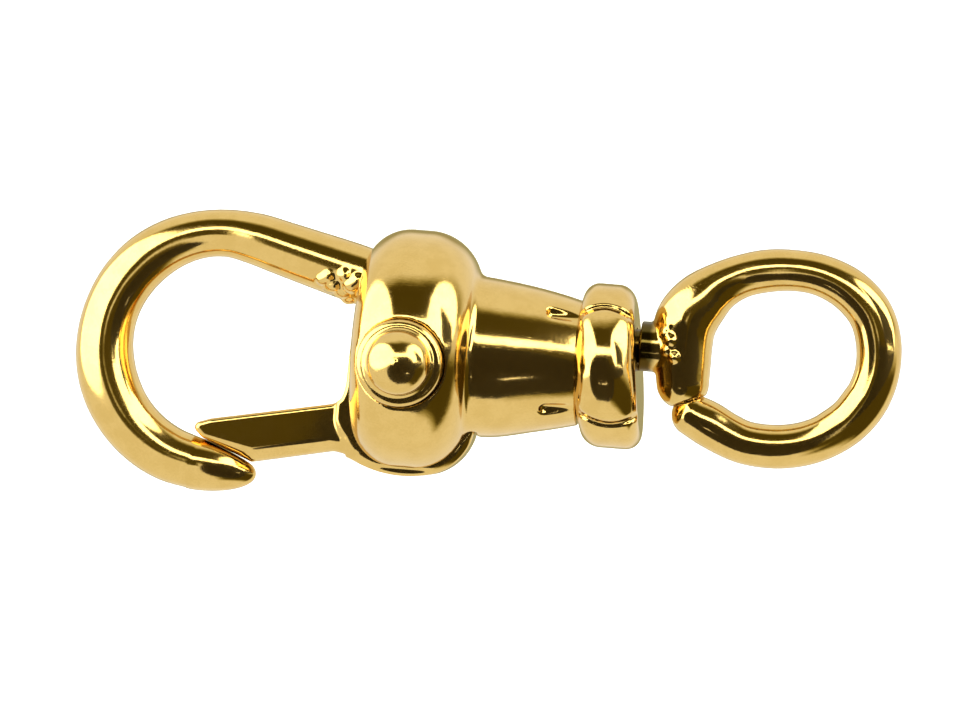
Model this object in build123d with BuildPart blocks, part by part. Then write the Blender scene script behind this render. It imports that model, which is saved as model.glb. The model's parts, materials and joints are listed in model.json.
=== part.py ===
"""Watch-chain swivel clasp (Albert swivel), built as separate pieces.

Millimetres.  Z is the swivel axis: the chain eye is at the top and the hook hangs below it.
The hook, the gate and the eye loop lie in the XZ plane, and +X is the side that the gate closes.
The origin is on the swivel axis, level with the middle of the eye loop.
"""

import os
from math import cos, hypot, radians, sin, sqrt

from build123d import *

# ---- driving dimensions -------------------------------------------------------------------
RUNNING_GAP = 0.05          # radial clearance of every turning or sliding fit
SEAT_GAP = 0.01             # between faces of moving pieces that rest on each other

# body: barrel, cone and collar are round about one axis, beside and parallel to the swivel axis
BODY_X = 0.81
BARREL_Z = -13.39           # middle of the barrel
BARREL_RADIUS = 4.35
BARREL_HALF_WIDTH = 2.20
BARREL_EDGE = 1.65          # rounding of the barrel's two edges
CONE_START_RADIUS = 2.92
CONE_MIDDLE_RADIUS = 2.68
CONE_END_RADIUS = 2.27
COLLAR_BOTTOM = -7.49       # z
COLLAR_TOP = -5.44
LOBE_RADIUS = 2.25
LOBE_OFFSET = 0.70
LOBES = 4
COLLAR_EDGE = 0.55
FLUTE_RADIUS = 0.19         # notch between two lobes, run out on the cone
FLUTE_LENGTH = 0.95
FLUTE_REACH = 2.40          # of a flute's axis from the body axis

# hook
BOW_CENTRE = (1.33, -20.64)      # x, z
BOW_RADIUS = 4.21           # of the wire's centreline
ARM_ANGLE = 14.5            # degrees between the straight arm and the swivel axis
ARM_LENGTH = 4.60           # straight part, its end trimmed by the barrel
TIP_ANGLE = 7.0             # degrees that the tip leans out
# wire radius at even steps up the arm, round the bow and along the tip
ARM_RADII = (0.97, 1.03, 1.06, 1.06)
BOW_RADII = (0.86, 0.92, 0.97, 0.99, 1.04, 1.08, 1.05, 1.01)
TIP_RADII = (0.93, 0.90, 0.80, 0.52)     # the last is also the radius of the rounded end
TIP_LENGTH = 1.66
TENON_X = -2.02
TENON_RADIUS = 0.42
TENON_TOP = -15.00          # z
TENON_FOOT = -16.20

# gate
PIVOT = (1.31, -13.64)      # x, z
HUB_RADIUS = 4.05
GATE_HALF_THICKNESS = 0.85
HEEL_ANGLE = 36.0           # degrees from +Z, where the hub's core ends inside the body
HEEL_RADIUS = 2.00          # rounding of the hub's heel, which follows the barrel's edge
HEEL_START_ANGLE = 75.0     # degrees from +Z, where the rounding leaves the hub's rim
RIM_END_ANGLE = 118.0       # degrees from +Z, where the rim meets the tongue's outer edge
CORE_RADIUS = 2.72          # hub part that turns behind the hook's root
CORE_END_ANGLE = 240.0
TONGUE = ((2.95, -16.34), (3.84, -20.67), (4.10, -21.22), (4.40, -21.24),
          (4.61, -20.86), (5.30, -19.17), (4.57, -15.81))
HUB_FACE = ((2.07, -15.87), (-0.35, -15.80))      # the hub's front, seen inside the hook
MATING_POINT = (4.98, -20.00)    # on the slanted face where nose and hook tip meet
MATING_ANGLE = 23.0         # degrees from the swivel axis
GATE_TRAVEL = 30.0          # degrees
CAM_THROW = 1.10            # cam centre to pivot
CAM_RADIUS = 1.55
PIN_RADIUS = 0.60
PIN_REACH = 4.00            # half length of the pin

# bosses and buttons over the pin ends: distances are from the hook plane
BOSS_RADIUS = 1.55
BOSS_FOOT = 3.20
BOSS_TOP = 4.78
BOSS_EDGE = 0.18
BUTTON_STEM_RADIUS = 0.90
BUTTON_RADIUS = 1.16
BUTTON_HEIGHT = 1.00

# spring train in the bore
BORE_RADIUS = 1.15
SPRING_WIRE_RADIUS = 0.13
SPRING_MEAN_RADIUS = 0.78
SPRING_TURNS = 7
SEAT_THICKNESS = 0.30
SPIGOT_LENGTH = 0.70        # of the collar, into the bore

# eye
SHANK_RADIUS = 0.60
SHANK_BOTTOM = -6.86        # z, end of the peened head
NECK_RADIUS = 0.92
NECK_TOP = -4.10
COLLAR_WALL = 0.86          # thickness of the collar's end, which the shank turns in
WASHER_RADIUS = 0.92
WASHER_THICKNESS = 0.22
HEAD_RADIUS = 0.84
COUNTERBORE_RADIUS = 0.98
# x, z and radius along the wire: the flared root, the loop, which is bent by hand and so isn't
# a true circle, and the blunt end
ROOT = ((1.20, -3.80, 0.95), (0.50, -3.84, 1.01), (-0.30, -3.90, 1.07), (-1.00, -3.84, 1.11),
        (-1.72, -3.42, 1.03), (-2.32, -2.85, 0.86), (-2.80, -2.02, 0.78))
LOOP = ((-3.08, -1.05, 0.77), (-3.17, 0.00, 0.74), (-3.05, 0.98, 0.75), (-2.62, 1.95, 0.79),
        (-1.86, 2.73, 0.82), (-0.90, 3.11, 0.82), (0.19, 3.16, 0.81), (1.20, 2.88, 0.82),
        (2.05, 2.30, 0.82), (2.69, 1.50, 0.80), (3.08, 0.60, 0.79), (3.24, -0.38, 0.79),
        (3.17, -1.40, 0.78))
END = ((2.90, -2.17, 0.80), (2.57, -2.84, 0.82), (2.30, -3.42, 0.75))
JOINT_GAP = 0.06            # open joint between the loop's end and its root


# ---- frames and small helpers ---------------------------------------------------------------
body_axis = Axis((BODY_X, 0, 0), (0, 0, 1))
barrel_bottom = BARREL_Z - BARREL_HALF_WIDTH
barrel_top = BARREL_Z + BARREL_HALF_WIDTH


def about_pivot(radius, angle):
    """The point at an angle from +Z towards +X about the pivot, as (x, z)."""
    return PIVOT[0] + radius * sin(radians(angle)), PIVOT[1] + radius * cos(radians(angle))


def sector(radius, start, stop, steps=12):
    """A fan of straight sides about the pivot, a little larger than the radius."""
    reach = radius / cos(radians((stop - start) / steps / 2))
    fan = [PIVOT]
    for step in range(steps + 1):
        fan.append(about_pivot(reach, start + (stop - start) * step / steps))
    return fan


def tube_through(stations, first=0, last=None):
    """A round tube through (x, z, radius) stations in the hook plane, or a stretch of them."""
    with BuildPart(mode=Mode.PRIVATE) as tube:
        for number in range(len(stations))[first:last]:
            x, z, radius = stations[number]
            before = stations[max(number - 1, 0)]
            after = stations[min(number + 1, len(stations) - 1)]
            way = (after[0] - before[0], 0, after[1] - before[1])
            with BuildSketch(Plane(origin=(x, 0, z), x_dir=(0, 1, 0), z_dir=way)):
                Circle(radius)
        loft()
    return tube.part


def rounded(stations):
    """The stations with a rounded end added: sections that shrink as a half ball does."""
    x, z, radius = stations[-1]
    run = (x - stations[-2][0], z - stations[-2][1])
    length = hypot(*run)
    capped = list(stations)
    for share in (0.40, 0.70, 0.90, 0.98):
        reach = radius * share / length
        capped.append((x + run[0] * reach, z + run[1] * reach, radius * sqrt(1 - share**2)))
    return capped


def mating_block(side, gap):
    """A big block on one side (-1 inner, +1 outer) of the nose-to-tip mating face."""
    outward = (cos(radians(MATING_ANGLE)), 0, -sin(radians(MATING_ANGLE)))
    face = Plane(origin=(MATING_POINT[0], 0, MATING_POINT[1]), x_dir=(0, 1, 0), z_dir=outward)
    size = 1.4 * BOW_RADIUS
    with BuildPart(mode=Mode.PRIVATE) as block:
        with BuildSketch(face.offset(side * gap)):
            Rectangle(size, size)
        extrude(amount=side * size)
    return block.part


def across(distance, side):
    """A plane facing away from the hook plane, at a distance on one side (-1 front, +1 rear)."""
    return Plane(origin=(PIVOT[0], side * distance, PIVOT[1]), x_dir=(1, 0, 0), z_dir=(0, side, 0))


os.makedirs("parts", exist_ok=True)


def keep(part, label):
    """Label a finished piece and write it out."""
    part.label = label
    export_step(part, f"parts/{label}.step")


# ---- hook arm -------------------------------------------------------------------------------
# the envelope is the body without slot, bores or collar, and trims the arm's root
with BuildPart() as envelope:
    with BuildSketch(Plane.XZ):
        with Locations((BODY_X + BARREL_RADIUS / 2, BARREL_Z)):
            Rectangle(BARREL_RADIUS, 2 * BARREL_HALF_WIDTH)
        fillet(vertices().group_by(Axis.X)[-1], BARREL_EDGE)
        with BuildLine():
            cone_middle_z = (barrel_top + COLLAR_BOTTOM) / 2
            ThreePointArc(
                (BODY_X + CONE_START_RADIUS, barrel_top),
                (BODY_X + CONE_MIDDLE_RADIUS, cone_middle_z),
                (BODY_X + CONE_END_RADIUS, COLLAR_BOTTOM),
            )
            Polyline(
                (BODY_X + CONE_END_RADIUS, COLLAR_BOTTOM),
                (BODY_X, COLLAR_BOTTOM),
                (BODY_X, BARREL_Z),
                (BODY_X + CONE_START_RADIUS, BARREL_Z),
                (BODY_X + CONE_START_RADIUS, barrel_top),
            )
        make_face()
    revolve(axis=body_axis)

arm_way = (sin(radians(ARM_ANGLE)), cos(radians(ARM_ANGLE)))
tip_way = (sin(radians(TIP_ANGLE)), cos(radians(TIP_ANGLE)))


def bow_point(share):
    """A point round the bow: 0 where the arm ends, 1 where the tip begins."""
    angle = radians(180 - ARM_ANGLE + share * (180 + ARM_ANGLE - TIP_ANGLE))
    return BOW_CENTRE[0] + BOW_RADIUS * cos(angle), BOW_CENTRE[1] + BOW_RADIUS * sin(angle)


hook_stations = []
arm_foot = bow_point(0)
for number, radius in enumerate(ARM_RADII):
    reach = ARM_LENGTH * number / (len(ARM_RADII) - 1)
    hook_stations.insert(0, (arm_foot[0] + reach * arm_way[0], arm_foot[1] + reach * arm_way[1], radius))
for number, radius in enumerate(BOW_RADII):
    hook_stations.append((*bow_point((number + 1) / (len(BOW_RADII) + 1)), radius))
tip_foot = bow_point(1)
for number, radius in enumerate(TIP_RADII):
    reach = TIP_LENGTH * number / (len(TIP_RADII) - 1)
    hook_stations.append((tip_foot[0] + reach * tip_way[0], tip_foot[1] + reach * tip_way[1], radius))

with BuildPart() as hook_arm:
    add(tube_through(rounded(hook_stations)))
    add(mating_block(-1, 0), mode=Mode.SUBTRACT)
    add(envelope.part, mode=Mode.SUBTRACT)
    with BuildSketch(Plane.XY.offset(TENON_FOOT)):
        with Locations((TENON_X, 0)):
            Circle(TENON_RADIUS)
    extrude(amount=TENON_TOP - TENON_FOOT)
keep(hook_arm.part, "hook_arm")

# ---- body: barrel and cone in one casting ---------------------------------------------------
heel_centre = about_pivot(HUB_RADIUS - HEEL_RADIUS, HEEL_START_ANGLE)
bore_bottom = PIVOT[1] - CAM_THROW * sin(radians(GATE_TRAVEL / 2)) + CAM_RADIUS - 2 * RUNNING_GAP

with BuildPart() as knuckle_body:
    add(envelope.part)
    # slot for the gate: a round pocket about the pivot, open on the gate side
    with BuildSketch(Plane.XZ):
        with Locations(PIVOT):
            Circle(CORE_RADIUS + RUNNING_GAP)
        with BuildLine():
            Polyline(*sector(HUB_RADIUS + RUNNING_GAP, HEEL_START_ANGLE, 180), close=True)
        make_face()
        with Locations(heel_centre):
            Circle(HEEL_RADIUS + RUNNING_GAP)
    extrude(amount=GATE_HALF_THICKNESS + RUNNING_GAP, both=True, mode=Mode.SUBTRACT)
    # spring bore, on the swivel axis
    with BuildSketch(Plane.XY.offset(bore_bottom)):
        Circle(BORE_RADIUS)
    extrude(amount=COLLAR_BOTTOM - bore_bottom, mode=Mode.SUBTRACT)
    # socket for the hook's tenon
    with BuildSketch(Plane.XY.offset(TENON_FOOT)):
        with Locations((TENON_X, 0)):
            Circle(TENON_RADIUS)
    extrude(amount=TENON_TOP - TENON_FOOT, mode=Mode.SUBTRACT)
    # pin hole and the two boss seats
    with BuildSketch(Plane.XZ):
        with Locations(PIVOT):
            Circle(PIN_RADIUS)
    extrude(amount=BARREL_RADIUS + 1, both=True, mode=Mode.SUBTRACT)
    for side in (-1, 1):
        with BuildSketch(across(BOSS_FOOT, side)):
            Circle(BOSS_RADIUS)
        extrude(amount=BARREL_RADIUS, mode=Mode.SUBTRACT)
    # flutes at the cone's end, one between each two lobes of the collar
    with BuildSketch(Plane.XY.offset(COLLAR_BOTTOM - FLUTE_LENGTH)):
        with Locations((BODY_X, 0)):
            with PolarLocations(FLUTE_REACH, LOBES, start_angle=45):
                Circle(FLUTE_RADIUS)
    extrude(amount=FLUTE_LENGTH, mode=Mode.SUBTRACT)
keep(knuckle_body.part, "knuckle_body")

# ---- collar ferrule: four beads of revolution, each a little off the body axis ----------------
shank_hole_radius = SHANK_RADIUS + RUNNING_GAP
with BuildPart() as collar_ferrule:
    for number in range(LOBES):
        turn = radians(360 / LOBES * number)
        lobe_x = BODY_X + LOBE_OFFSET * cos(turn)
        lobe_y = LOBE_OFFSET * sin(turn)
        with BuildSketch(Plane(origin=(lobe_x, lobe_y, 0), x_dir=(1, 0, 0), z_dir=(0, -1, 0))):
            with Locations((LOBE_RADIUS / 2, (COLLAR_BOTTOM + COLLAR_TOP) / 2)):
                Rectangle(LOBE_RADIUS, COLLAR_TOP - COLLAR_BOTTOM)
            fillet(vertices().group_by(Axis.X)[-1], COLLAR_EDGE)
        revolve(axis=Axis((lobe_x, lobe_y, 0), (0, 0, 1)))
    with BuildSketch(Plane.XY.offset(COLLAR_BOTTOM - SPIGOT_LENGTH)):
        Circle(BORE_RADIUS)
    extrude(amount=SPIGOT_LENGTH)
    with BuildSketch(Plane.XY.offset(COLLAR_BOTTOM - SPIGOT_LENGTH)):
        Circle(COUNTERBORE_RADIUS)
    extrude(amount=COLLAR_TOP - COLLAR_WALL - COLLAR_BOTTOM + SPIGOT_LENGTH, mode=Mode.SUBTRACT)
    with BuildSketch(Plane.XY.offset(COLLAR_TOP - COLLAR_WALL)):
        Circle(shank_hole_radius)
    extrude(amount=2 * COLLAR_WALL, mode=Mode.SUBTRACT)
keep(collar_ferrule.part, "collar_ferrule")

# ---- gate: tongue, hub and cam in one piece ---------------------------------------------------
cam_rest = radians(GATE_TRAVEL / 2)
cam_centre = (PIVOT[0] - CAM_THROW * cos(cam_rest), PIVOT[1] - CAM_THROW * sin(cam_rest))
rim_sector = sector(HUB_RADIUS, HEEL_START_ANGLE, RIM_END_ANGLE)

with BuildPart() as gate_tongue:
    with BuildSketch(Plane.XZ):
        with Locations(PIVOT):
            Circle(HUB_RADIUS)
        with BuildLine():
            Polyline(*rim_sector, close=True)
        make_face(mode=Mode.INTERSECT)
        with BuildLine():
            Polyline(*sector(CORE_RADIUS, HEEL_ANGLE, HEEL_START_ANGLE), close=True)
        make_face()
        with Locations(heel_centre):
            Circle(HEEL_RADIUS)
        with BuildLine():
            Polyline(
                PIVOT,
                about_pivot(HUB_RADIUS, RIM_END_ANGLE),
                TONGUE[-1],
                TONGUE[0],
                *HUB_FACE,
                about_pivot(CORE_RADIUS, CORE_END_ANGLE),
                close=True,
            )
        make_face()
        with BuildLine():
            Polyline(*TONGUE, close=True)
        make_face()
        with Locations(cam_centre):
            Circle(CAM_RADIUS)
        with Locations(PIVOT):
            Circle(PIN_RADIUS + RUNNING_GAP, mode=Mode.SUBTRACT)
    extrude(amount=GATE_HALF_THICKNESS, both=True)
    add(mating_block(1, -SEAT_GAP), mode=Mode.SUBTRACT)
keep(gate_tongue.part, "gate_tongue")

# ---- pivot pin, bosses and buttons ------------------------------------------------------------
with BuildPart() as pivot_pin:
    with BuildSketch(Plane.XZ):
        with Locations(PIVOT):
            Circle(PIN_RADIUS)
    extrude(amount=PIN_REACH, both=True)
keep(pivot_pin.part, "pivot_pin")

for side, where in ((-1, "front"), (1, "rear")):
    with BuildPart() as boss_ring:
        with BuildSketch(across(BOSS_FOOT, side)):
            Circle(BOSS_RADIUS)
        extrude(amount=BOSS_TOP - BOSS_FOOT)
        fillet(boss_ring.edges().group_by(Axis.Y)[-1 if side > 0 else 0], BOSS_EDGE)
        with BuildSketch(across(BOSS_FOOT, side)):
            Circle(PIN_RADIUS)
        extrude(amount=PIN_REACH - BOSS_FOOT, mode=Mode.SUBTRACT)
        with BuildSketch(across(PIN_REACH, side)):
            Circle(BUTTON_STEM_RADIUS)
        extrude(amount=BOSS_TOP, mode=Mode.SUBTRACT)
    keep(boss_ring.part, f"{where}_boss_ring")

    # a spherical cap on a plain stem, drawn with its own axis up
    cap_radius = (BUTTON_RADIUS**2 + BUTTON_HEIGHT**2) / (2 * BUTTON_HEIGHT)
    cap_centre = BOSS_TOP + BUTTON_HEIGHT - cap_radius
    slope = radians(50)
    upright = Plane(origin=(PIVOT[0], 0, PIVOT[1]), x_dir=(1, 0, 0), z_dir=(0, 0, side))
    with BuildPart() as button_cap:
        with BuildSketch(upright):
            with BuildLine():
                ThreePointArc(
                    (BUTTON_RADIUS, BOSS_TOP),
                    (cap_radius * cos(slope), cap_centre + cap_radius * sin(slope)),
                    (0, BOSS_TOP + BUTTON_HEIGHT),
                )
                Polyline(
                    (0, BOSS_TOP + BUTTON_HEIGHT),
                    (0, PIN_REACH),
                    (BUTTON_STEM_RADIUS, PIN_REACH),
                    (BUTTON_STEM_RADIUS, BOSS_TOP),
                    (BUTTON_RADIUS, BOSS_TOP),
                )
            make_face()
        revolve(axis=Axis((PIVOT[0], 0, PIVOT[1]), (0, side, 0)))
    keep(button_cap.part, f"{where}_button_cap")

# ---- spring train: a coil between the gate's cam and a seat in the bore's top ------------------
spring_bottom = cam_centre[1] + CAM_RADIUS + SEAT_GAP
seat_bottom = COLLAR_BOTTOM - SPIGOT_LENGTH - SEAT_THICKNESS

with BuildPart() as spring_seat:
    with BuildSketch(Plane.XY.offset(seat_bottom)):
        Circle(BORE_RADIUS)
    extrude(amount=SEAT_THICKNESS)
keep(spring_seat.part, "spring_seat")

spring_rise = seat_bottom - spring_bottom - 2 * SPRING_WIRE_RADIUS
with BuildPart() as gate_spring:
    with BuildLine(Plane.XY.offset(spring_bottom + SPRING_WIRE_RADIUS)):
        coil = Helix(
            pitch=spring_rise / SPRING_TURNS, height=spring_rise, radius=SPRING_MEAN_RADIUS
        )
    with BuildSketch(Plane(origin=coil @ 0, z_dir=coil % 0)):
        Circle(SPRING_WIRE_RADIUS)
    sweep(is_frenet=True)
keep(gate_spring.part, "gate_spring")

# ---- swivel eye and its washer --------------------------------------------------------------
washer_top = COLLAR_TOP - COLLAR_WALL - SEAT_GAP
washer_bottom = washer_top - WASHER_THICKNESS

root_stations = rounded(ROOT[::-1])[::-1]
eye_stations = rounded([*root_stations, *LOOP, *END])
halfway = len(root_stations) + len(LOOP) // 2
end_start = len(root_stations) + len(LOOP) - 2
clear_end = [(x, z, radius + JOINT_GAP) for x, z, radius in eye_stations]

with BuildPart() as swivel_eye:
    add(tube_through(eye_stations, last=halfway + 1))
    # the blunt end lies against the root, with a thin open joint between them
    add(tube_through(clear_end, first=end_start), mode=Mode.SUBTRACT)
    add(tube_through(eye_stations, first=halfway))
    with BuildSketch(Plane.XY.offset(COLLAR_TOP + SEAT_GAP)):
        Circle(NECK_RADIUS)
    extrude(amount=NECK_TOP - COLLAR_TOP)
    with BuildSketch(Plane.XY.offset(SHANK_BOTTOM)):
        Circle(SHANK_RADIUS)
    extrude(amount=COLLAR_TOP + SEAT_GAP - SHANK_BOTTOM)
    # the end of the shank is peened over the washer
    with BuildSketch(Plane.XY.offset(SHANK_BOTTOM)):
        Circle(HEAD_RADIUS)
    extrude(amount=washer_bottom - SEAT_GAP - SHANK_BOTTOM)
keep(swivel_eye.part, "swivel_eye")

with BuildPart() as shank_washer:
    with BuildSketch(Plane.XY.offset(washer_bottom)):
        Circle(WASHER_RADIUS)
        Circle(SHANK_RADIUS, mode=Mode.SUBTRACT)
    extrude(amount=WASHER_THICKNESS)
keep(shank_washer.part, "shank_washer")
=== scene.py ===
"""Looks of the watch-chain swivel clasp: high-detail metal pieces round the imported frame.

Shapes are described in millimetres by distance fields and turned into quad meshes in metres.
X, Z are the hook plane, Y goes through it, and Z is the swivel axis with the eye at the origin.
"""

import json
from math import cos, degrees, hypot, pi, radians, sin

import bpy
import numpy as np
from mathutils import Matrix, Vector


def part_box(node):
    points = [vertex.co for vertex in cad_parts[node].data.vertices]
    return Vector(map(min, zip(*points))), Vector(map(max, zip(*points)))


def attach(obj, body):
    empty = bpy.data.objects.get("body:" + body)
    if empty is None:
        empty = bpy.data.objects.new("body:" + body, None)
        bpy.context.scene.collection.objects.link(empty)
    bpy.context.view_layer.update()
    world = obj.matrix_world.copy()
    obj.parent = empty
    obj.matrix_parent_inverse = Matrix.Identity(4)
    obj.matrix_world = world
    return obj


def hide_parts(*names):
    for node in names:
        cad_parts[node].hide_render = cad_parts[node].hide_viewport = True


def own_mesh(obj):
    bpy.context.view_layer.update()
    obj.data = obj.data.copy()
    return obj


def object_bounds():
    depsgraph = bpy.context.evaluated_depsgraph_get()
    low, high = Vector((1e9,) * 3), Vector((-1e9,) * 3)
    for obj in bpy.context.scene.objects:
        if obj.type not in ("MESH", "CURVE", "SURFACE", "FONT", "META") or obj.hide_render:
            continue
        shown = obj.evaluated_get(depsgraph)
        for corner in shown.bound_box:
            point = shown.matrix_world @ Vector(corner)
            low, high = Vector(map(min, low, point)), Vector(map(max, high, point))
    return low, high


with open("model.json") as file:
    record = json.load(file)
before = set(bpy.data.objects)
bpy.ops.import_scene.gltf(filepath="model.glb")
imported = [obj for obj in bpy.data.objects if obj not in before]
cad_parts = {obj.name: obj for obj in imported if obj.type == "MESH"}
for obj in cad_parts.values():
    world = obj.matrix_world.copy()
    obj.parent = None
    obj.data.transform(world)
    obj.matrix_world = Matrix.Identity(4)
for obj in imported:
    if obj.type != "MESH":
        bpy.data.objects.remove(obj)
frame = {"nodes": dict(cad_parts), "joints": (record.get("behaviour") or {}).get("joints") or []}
cad_low, cad_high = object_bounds()

MM = 0.001                  # metres in a millimetre
MESH_SCALE = 1.0


# ---- places from the frame, in millimetres --------------------------------------------------
def box_mm(node):
    """The lowest and highest corner of a CAD node, in millimetres."""
    low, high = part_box(node)
    return low / MM, high / MM


joints = {joint["name"]: joint for joint in frame["joints"]}
PIVOT_X, _, PIVOT_Z = (value / MM for value in joints["gate_hinge"]["pos_m"])
collar_low, collar_high = box_mm("collar_ferrule")
body_low, body_high = box_mm("knuckle_body")
ring_low, ring_high = box_mm("rear_boss_ring")
button_low, button_high = box_mm("rear_button_cap")
gate_low, gate_high = box_mm("gate_tongue")
eye_low, eye_high = box_mm("swivel_eye")
washer_low, _ = box_mm("shank_washer")
spring_low, spring_high = box_mm("gate_spring")
pin_low, pin_high = box_mm("pivot_pin")

BODY_X = (collar_low.x + collar_high.x) / 2
BARREL_RADIUS = BODY_X - body_low.x
BARREL_BOTTOM = body_low.z
COLLAR_BOTTOM = body_high.z
COLLAR_TOP = collar_high.z
SLOT_HALF = gate_high.y + 0.05
PIN_RADIUS = (pin_high.x - pin_low.x) / 2
RING_RADIUS = (ring_high.x - ring_low.x) / 2
BUTTON_RADIUS = (button_high.x - button_low.x) / 2


# ---- distance fields ------------------------------------------------------------------------
def join(a, b, soft=0.0):
    """The union of two fields, its inner corners filled softly."""
    if soft <= 0:
        return np.minimum(a, b)
    share = np.clip(0.5 + 0.5 * (b - a) / soft, 0, 1)
    return b + (a - b) * share - soft * share * (1 - share)


def cut(a, b, soft=0.0):
    """The first field with the second taken out, its edges eased."""
    return -join(-a, b, soft)


def common(a, b, soft=0.0):
    """What two fields share, its edges eased."""
    return -join(-a, -b, soft)


def slab(value, low, high):
    """Between two parallel planes."""
    return np.maximum(low - value, value - high)


def rounded_rectangle(across, along, half_across, half_along, radius):
    """A rectangle about the origin with round corners."""
    a = np.abs(across) - half_across + radius
    b = np.abs(along) - half_along + radius
    outside = np.hypot(np.maximum(a, 0), np.maximum(b, 0))
    return outside + np.minimum(np.maximum(a, b), 0) - radius


def rod(first, second, radius):
    """An endless round rod, from the two coordinates across it."""
    return np.hypot(first, second) - radius


def ball(x, y, z, centre, radius):
    """A ball."""
    return np.sqrt((x - centre[0]) ** 2 + (y - centre[1]) ** 2 + (z - centre[2]) ** 2) - radius


def polygon(x, z, corners):
    """A flat shape with straight sides, in the hook plane."""
    corners = np.array(corners, float)
    nearest = np.full(np.broadcast(x, z).shape, 1e9)
    inside = np.zeros(nearest.shape, bool)
    for (ax, az), (bx, bz) in zip(corners, np.roll(corners, -1, axis=0)):
        ex, ez = bx - ax, bz - az
        share = np.clip(((x - ax) * ex + (z - az) * ez) / (ex * ex + ez * ez), 0, 1)
        nearest = np.minimum(nearest, np.hypot(x - ax - ex * share, z - az - ez * share))
        if ez:
            spans = (az > z) != (bz > z)
            inside ^= spans & (x < ax + ex * (z - az) / ez)
    return np.where(inside, -nearest, nearest)


def plate(outline, y, half, radius):
    """A flat shape given thickness, with its edges rounded by a radius that may vary."""
    a = outline + radius
    b = np.abs(y) - half + radius
    outside = np.hypot(np.maximum(a, 0), np.maximum(b, 0))
    return outside + np.minimum(np.maximum(a, b), 0) - radius


def smooth_route(stations, spacing=0.08, ease=6, span_points=24):
    """A dense, even line of (x, z, radius) through the stations, its bends eased."""
    points = np.array(stations, float)
    padded = np.vstack([2 * points[0] - points[1], points, 2 * points[-1] - points[-2]])
    dense = []
    for p0, p1, p2, p3 in zip(padded, padded[1:], padded[2:], padded[3:]):
        for t in np.linspace(0, 1, span_points, endpoint=False):
            dense.append(0.5 * (
                2 * p1 + (p2 - p0) * t + (2 * p0 - 5 * p1 + 4 * p2 - p3) * t**2
                + (3 * p1 - p0 - 3 * p2 + p3) * t**3
            ))
    dense = np.array([*dense, points[-1]])
    run = np.r_[0, np.cumsum(np.hypot(*np.diff(dense[:, :2], axis=0).T))]
    even = np.arange(0, run[-1], spacing)
    route = np.stack([np.interp(even, run, column) for column in dense.T], axis=1)
    for _ in range(ease):
        route[1:-1] = (route[:-2] + 2 * route[1:-1] + route[2:]) / 4
    return route


def tube(x, y, z, route, batch=20000):
    """A round wire along a route in the hook plane, its radius varying along it."""
    # the grid is gone through in batches, which keeps the table of gaps small
    flat_x, flat_z = np.broadcast_arrays(x, z)
    px, pz = flat_x.ravel(), flat_z.ravel()
    away = np.empty(px.shape)
    size = np.empty(px.shape)
    ends = np.diff(route, axis=0)
    for start in range(0, len(px), batch):
        cx, cz = px[start : start + batch], pz[start : start + batch]
        gaps = (cx[:, None] - route[None, :, 0]) ** 2 + (cz[:, None] - route[None, :, 1]) ** 2
        gaps = np.sqrt(gaps) - route[None, :, 2]
        near = gaps.argmin(axis=1)
        best = np.full(len(cx), 1e9)
        radius = np.zeros(len(cx))
        for first in (np.maximum(near - 1, 0), np.minimum(near, len(ends) - 1)):
            ax, az, ar = route[first].T
            ex, ez, er = ends[first].T
            share = np.clip(((cx - ax) * ex + (cz - az) * ez) / (ex * ex + ez * ez), 0, 1)
            gap = np.hypot(cx - ax - ex * share, cz - az - ez * share)
            closer = gap < best
            best = np.where(closer, gap, best)
            radius = np.where(closer, ar + er * share, radius)
        away[start : start + batch] = best
        size[start : start + batch] = radius
    away, size = away.reshape(flat_x.shape), size.reshape(flat_x.shape)
    return np.hypot(away, y) - size


# ---- from a field to a mesh -----------------------------------------------------------------
SURFACE_ROUNDS, EVENING_ROUNDS = 6, 4
LARGEST_MOVE = 0.6          # of a point in one round, in grid steps
EVENING_SHARE = 0.6         # of the way to the middle of its neighbours


def sample(values, places):
    """Values of a grid at fractional places, by linear blending."""
    base = np.clip(places.astype(int), 0, np.array(values.shape[:3]) - 2)
    part = places - base
    total = 0
    for corner in np.ndindex(2, 2, 2):
        weight = np.ones(len(places))
        for axis in range(3):
            weight = weight * (part[:, axis] if corner[axis] else 1 - part[:, axis])
        found = values[base[:, 0] + corner[0], base[:, 1] + corner[1], base[:, 2] + corner[2]]
        total = total + found * (weight[:, None] if found.ndim > 1 else weight)
    return total


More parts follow.
